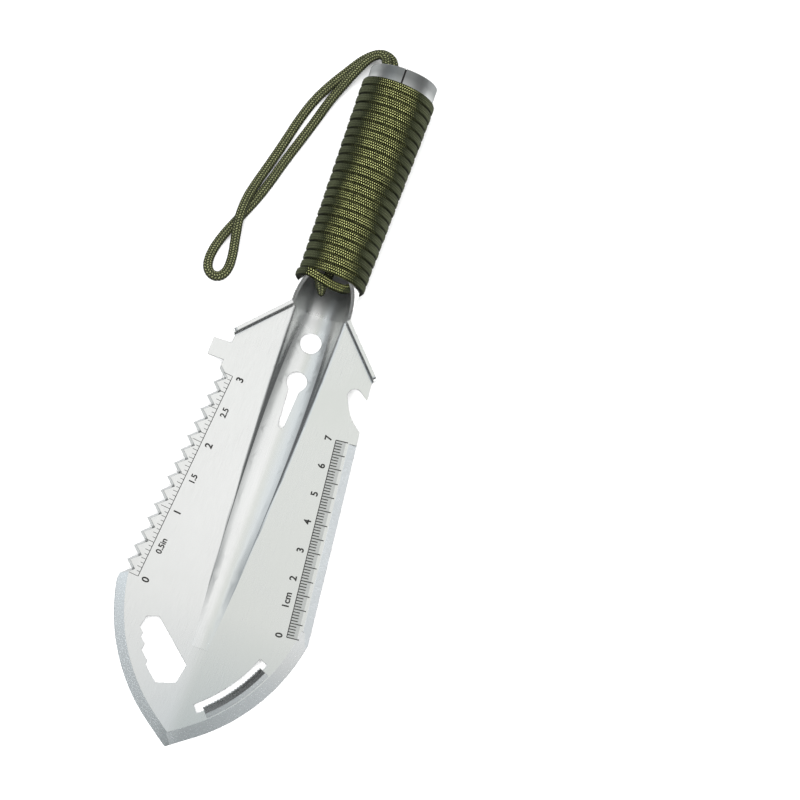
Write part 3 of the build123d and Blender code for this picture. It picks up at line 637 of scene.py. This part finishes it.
# The routes are the CAD's, in millimetres in the row frame.
EXIT_Y = 122.4
LOW_EXIT = (-4.6, EXIT_Y, 7.6)
HIGH_EXIT = (-7.4, EXIT_Y, 12.2)
LOWER_STRAND = [(-1.5, 46.0, 13.6), (-1.2, 58.0, 9.0), (-2.6, 78.0, 7.4), (-3.4, 100.0, 7.2),
                (-4.6, 115.5, 7.6), LOW_EXIT]
UPPER_STRAND = [(4.2, 48.6, 15.6), (2.2, 56.0, 13.6), (-2.2, 66.0, 11.6), (-5.2, 80.0, 11.0),
                (-6.8, 97.0, 11.6), (-7.4, 113.0, 12.2), HIGH_EXIT]
LANYARD = [LOW_EXIT, (-4.6, 127.4, 7.6), (-6.6, 131.6, 6.4), (-11.4, 133.0, 4.4), (-16.2, 129.6, 2.6),
           (-20.2, 123.4, 1.75), (-24.4, 116.4, 1.75), (-28.2, 108.4, 1.75), (-30.7, 99.8, 1.75),
           (-32.6, 90.8, 1.75), (-34.6, 82.4, 1.75), (-36.7, 74.0, 2.2), (-38.2, 66.2, 4.5),
           (-38.3, 58.4, 5.6), (-37.1, 51.4, 4.0), (-35.9, 45.2, 2.0), (-35.7, 39.6, 1.75),
           (-37.8, 36.2, 1.75), (-41.0, 36.2, 1.75), (-43.2, 38.8, 1.75), (-43.4, 44.0, 1.75),
           (-41.7, 50.8, 1.75), (-38.9, 57.8, 1.75), (-35.6, 65.6, 1.75), (-32.8, 74.0, 1.75),
           (-30.6, 83.0, 1.75), (-27.9, 92.0, 1.75), (-25.2, 101.2, 1.75), (-22.9, 110.0, 2.1),
           (-20.0, 117.4, 3.5), (-17.4, 123.2, 5.6), (-14.6, 128.2, 8.1), (-10.9, 130.8, 10.6),
           (-7.4, 128.2, 12.2), HIGH_EXIT]


def make_lanyard(material):
    line = nurbs_points(LANYARD)
    lanyard = round_braid("lanyard", line, material)
    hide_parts("lanyard_loop")
    for name, route in (("inner_strand_lower", LOWER_STRAND), ("inner_strand_upper", UPPER_STRAND)):
        strand = round_braid(name + "_braid", nurbs_points(route), material)
        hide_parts(name)


# ---- Winding: one flattened cord round the tube, the last turn over the mouth --------------------
TURN_PITCH = 3.27
WRAP_FROM, WRAP_TO = 171.0, 243.6
HALF_WIDE = 1.64
WRAP_THICK = 1.4
CROSSING_THICK = 1.8
CROSSING_SWELL = 0.25            # how much thicker still the section is on the way over the mouth
NECK_EASE = 2.6                  # how far before the crossing it starts to swell
CROWN_POWER = 2.0 / 2.7          # roundness of the cord's flattened top
FOOT_UP, FOOT_WIDE = 0.34, 0.78  # where its side meets the foot, and the foot's share of the width
COLUMNS_OVER = 11
WOBBLE = 0.03                    # how unevenly the turns lie
CROSSING_Y = 168.4
WINDING_START = -25.0            # degrees round the tube of the cord's first end, 0 right and 90 up
LEAVE_HELIX = -5.0               # where the last turn starts to slope towards the neck
JOIN_NECK = -140.0               # where it has come to CROSSING_Y
LIFT_OFF = -228.0                # where it leaves the tube for the straight run over the mouth
INTO_MOUTH = ((-4.6, 167.7, 13.2), (0.6, 166.7, 11.6), (5.2, 166.9, 10.1), (7.5, 168.7, 8.2),
              (7.6, 172.4, 5.6))

TAIL = ((-4.6, 168.6, 9.9), (-3.2, 167.0, 9.2), (-2.3, 165.2, 8.2), (-1.7, 163.4, 7.0))
MELTED_END = ((-1.95, 164.3, 7.55), (-1.5, 162.7, 6.65))


def winding_line():
    """Middle line of the winding, each point set at its distance from the tube's axis direction."""
    centre_y = WRAP_TO - HALF_WIDE
    turns = (WRAP_TO - WRAP_FROM - 2 * HALF_WIDE) / TURN_PITCH
    last = WINDING_START - 360 * turns
    whole_turns = math.ceil((LEAVE_HELIX - last) / 360) * 360
    leave, join, lift = (a - whole_turns for a in (LEAVE_HELIX, JOIN_NECK, LIFT_OFF))
    points = []
    for angle in np.arange(WINDING_START, lift, -1.0):
        y = centre_y + (max(angle, leave) - WINDING_START) / 360 * TURN_PITCH
        share = min(1.0, max(0.0, (leave - angle) / (leave - join)))
        share = share * share * (3 - 2 * share)
        y += (CROSSING_Y - y) * share
        lifted = max(0.0, (join - angle) / (join - lift))
        thick = WRAP_THICK + (CROSSING_THICK - WRAP_THICK) * min(1.0, lifted * 2)
        a = math.radians(angle)
        y += WOBBLE * math.sin(0.61 * a) + WOBBLE * math.sin(1.83 * a + 1.0) * (1 - share)
        reach = tube_radius(y) + thick / 2 + 0.12 * min(1.0, lifted * 2) + 0.05 * math.sin(0.37 * a)
        points.append((reach * math.cos(a), y, AXIS_Z + reach * math.sin(a)))
    return points + list(INTO_MOUTH)


def softened(points, step, window):
    """The line with its corners rounded by a moving average; its two ends stay."""
    even = resample(points, step)
    half = int(window / step / 2)
    padded = np.concatenate([np.repeat(even[:1], half, 0), even, np.repeat(even[-1:], half, 0)])
    sums = np.cumsum(np.concatenate([np.zeros((1, 3)), padded]), axis=0)
    width = 2 * half + 1
    return (sums[width:] - sums[:-width]) / width


def winding_section(rings, thick):
    """Side and up offsets: a crowned top of braid rows and a flat foot against the tube."""
    angle = np.linspace(0, math.pi, 400)
    x = np.sign(np.cos(angle)) * np.abs(np.cos(angle)) ** CROWN_POWER
    z = np.sin(angle) ** CROWN_POWER
    gone = np.concatenate([[0], np.cumsum(np.hypot(np.diff(x * HALF_WIDE), np.diff(z)))])
    places = np.linspace(0, gone[-1], COLUMNS_OVER)
    top_x, top_z = np.interp(places, gone, x), np.interp(places, gone, z)
    side = np.concatenate([top_x * HALF_WIDE, [-FOOT_WIDE * HALF_WIDE, 0.0, FOOT_WIDE * HALF_WIDE]])
    up = np.concatenate([FOOT_UP + (1 - FOOT_UP) * top_z, [0.0, 0.0, 0.0]])
    ups = up[None] * thick[:, None] - thick[:, None] / 2
    sides = np.repeat(side[None], rings, 0)
    relief = braid_relief(COLUMNS_OVER, rings) * RELIEF / MM
    ups[:, :COLUMNS_OVER] += relief * np.clip(top_z * 1.6, 0, 1)
    sides[:, :COLUMNS_OVER] += relief * top_x * 0.8
    return sides * MM, ups * MM


def make_winding(material):
    line = softened(winding_line(), 0.1, 3.0)
    centres = resample(line, STITCH / MM / 2)
    radial = centres - np.array([0.0, 0.0, AXIS_Z])
    radial[:, 1] = 0
    places = np.array([at_rest(p) for p in centres])
    outward = np.array([REST.to_3x3() @ Vector(v) for v in radial])
    # it swells near the crossing, but not under the tube, where it lies on the ground
    near_end = np.clip((CROSSING_Y + NECK_EASE - centres[:, 1]) / NECK_EASE, 0, 1)
    near_end *= np.clip(radial[:, 2] / 4 + 1, 0, 1)
    thick = WRAP_THICK + (CROSSING_THICK + CROSSING_SWELL - WRAP_THICK) * near_end
    sides, ups = winding_section(len(centres), thick)
    winding = swept("winding", places, outward, sides, ups, material)
    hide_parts("grip_wrap", "neck_crossing")


def make_knot(material):
    """Tail of the cord that hangs out from under the last turn, its end melted to a point."""
    tail = round_braid("tail_knot", [at_rest(p) for p in TAIL], material, 2.0 * MM,
                       lambda t: 1.0 if t < 0.6 else 1.0 - 0.45 * (t - 0.6) / 0.4)
    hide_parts("neck_knot")
    round_braid("tail_melt", [at_rest(p) for p in MELTED_END], material, 1.15 * MM,
                lambda t: math.sqrt(max(0.02, 1 - t ** 3)))


def make_seam():
    """Painted shadow: a dark strip that closes the handle tube's seam, just below its outer face."""
    corners = []
    for y in SEAM_RUN:
        for side, down in ((-1, SEAM_SINK), (1, SEAM_SINK), (1, SHEET), (-1, SHEET)):
            corners.append(at_rest((side * SEAM_HALF, y, AXIS_Z + tube_radius(y) - down)))
    faces = [(0, 1, 5, 4), (1, 2, 6, 5), (2, 3, 7, 6), (3, 0, 4, 7), (3, 2, 1, 0), (4, 5, 6, 7)]
    seam = mesh_object("seam_shadow_strip", corners, faces, smooth=False)
    n = Nodes("seam_painted_shadow")
    seam.data.materials.append(n.finish(Base_Color=(0.012, 0.012, 0.012, 1), Roughness=0.9,
                                        Specular_IOR_Level=0.1))
    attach(seam, BODY)


# ---- Studio --------------------------------------------------------------------------------------
def area_light(name, location, size, power):
    """A soft square lamp that looks at the tool and isn't mirrored in the steel."""
    data = bpy.data.lights.new(name, "AREA")
    data.shape = "RECTANGLE"
    data.size, data.size_y = size, size
    data.energy = power
    light = bpy.data.objects.new(name, data)
    light.location = location
    light.rotation_euler = (-Vector(location)).to_track_quat("-Z", "Y").to_euler()
    light.visible_glossy = False
    bpy.context.scene.collection.objects.link(light)


SKY_SIDEWAYS = ((-1.0, (0.20, 0.20, 0.21)), (-0.82, (0.26, 0.27, 0.28)), (-0.64, (0.78, 0.83, 0.86)),
                (-0.42, (0.84, 0.88, 0.90)), (-0.17, (0.79, 0.81, 0.77)), (0.06, (1.02, 1.02, 1.02)),
                (0.32, (0.98, 0.985, 0.985)), (0.50, (0.95, 0.96, 0.96)), (0.64, (0.42, 0.43, 0.43)),
                (0.80, (0.22, 0.225, 0.225)), (1.0, (0.20, 0.20, 0.20)))
SKY_LENGTHWAYS = ((-1.0, 0.20), (-0.45, 0.30), (-0.14, 0.55), (0.04, 0.92), (0.13, 1.10), (0.24, 1.02),
                  (0.42, 0.84), (0.60, 0.62), (1.0, 0.35))


def make_world():
    """Room that the steel mirrors, from its brightness sideways and lengthways; plain white behind."""
    world = bpy.data.worlds.new("studio")
    world.use_nodes = True
    bpy.context.scene.world = world
    tree = world.node_tree
    background = tree.nodes["Background"]

    def ramp_over(socket, stops):
        spread = tree.nodes.new("ShaderNodeMapRange")
        tree.links.new(socket, spread.inputs["Value"])
        spread.inputs["From Min"].default_value = -1.0
        made = tree.nodes.new("ShaderNodeValToRGB")
        tree.links.new(spread.outputs[0], made.inputs["Fac"])
        made.color_ramp.interpolation = "EASE"
        while len(made.color_ramp.elements) < len(stops):
            made.color_ramp.elements.new(0.5)
        for element, (place, colour) in zip(made.color_ramp.elements, stops):
            element.position = (place + 1) / 2
            element.color = (*colour, 1)
        return made.outputs["Color"]

    split = tree.nodes.new("ShaderNodeSeparateXYZ")
    tree.links.new(tree.nodes.new("ShaderNodeTexCoord").outputs["Generated"], split.inputs[0])
    shade = tree.nodes.new("ShaderNodeMix")
    shade.data_type, shade.blend_type = "RGBA", "MULTIPLY"
    shade.inputs[0].default_value = 1.0
    tree.links.new(ramp_over(split.outputs["X"], SKY_SIDEWAYS), shade.inputs["A"])
    grey = [(place, (value, value, value)) for place, value in SKY_LENGTHWAYS]
    tree.links.new(ramp_over(split.outputs["Y"], grey), shade.inputs["B"])
    plain = tree.nodes.new("ShaderNodeMix")
    plain.data_type = "RGBA"
    tree.links.new(tree.nodes.new("ShaderNodeLightPath").outputs["Is Camera Ray"], plain.inputs[0])
    tree.links.new(shade.outputs["Result"], plain.inputs["A"])
    plain.inputs["B"].default_value = (0.93, 0.93, 0.93, 1)
    tree.links.new(plain.outputs["Result"], background.inputs["Color"])
    background.inputs["Strength"].default_value = 1.0


def make_studio():
    floor = mesh_object("floor", [(-6, -6, 0), (6, -6, 0), (6, 6, 0), (-6, 6, 0)], [(0, 1, 2, 3)])
    n = Nodes("pale_floor")
    floor.data.materials.append(n.finish(Base_Color=(0.93, 0.93, 0.93, 1), Roughness=0.9,
                                         Specular_IOR_Level=0.1))
    make_world()
    area_light("key", (-0.2, -0.4, 1.5), 1.2, 34.0)
    area_light("fill", (0.7, 0.5, 1.4), 1.6, 16.0)
    bpy.context.scene.view_settings.view_transform = "Standard"


make_camera()
free_cord = braid_material("olive_cord", FREE_LOOK)
make_lanyard(free_cord)
make_winding(braid_material("olive_winding", WOUND_LOOK))
make_knot(free_cord)
make_studio()
trowel = frame["nodes"]["trowel_body"]
trowel.data.materials.clear()
trowel.data.materials.append(steel_material())
make_seam()
etched = etched_material()
make_inch_scale(etched)
make_cm_scale(etched)
make_cm_ground(frosted_material())
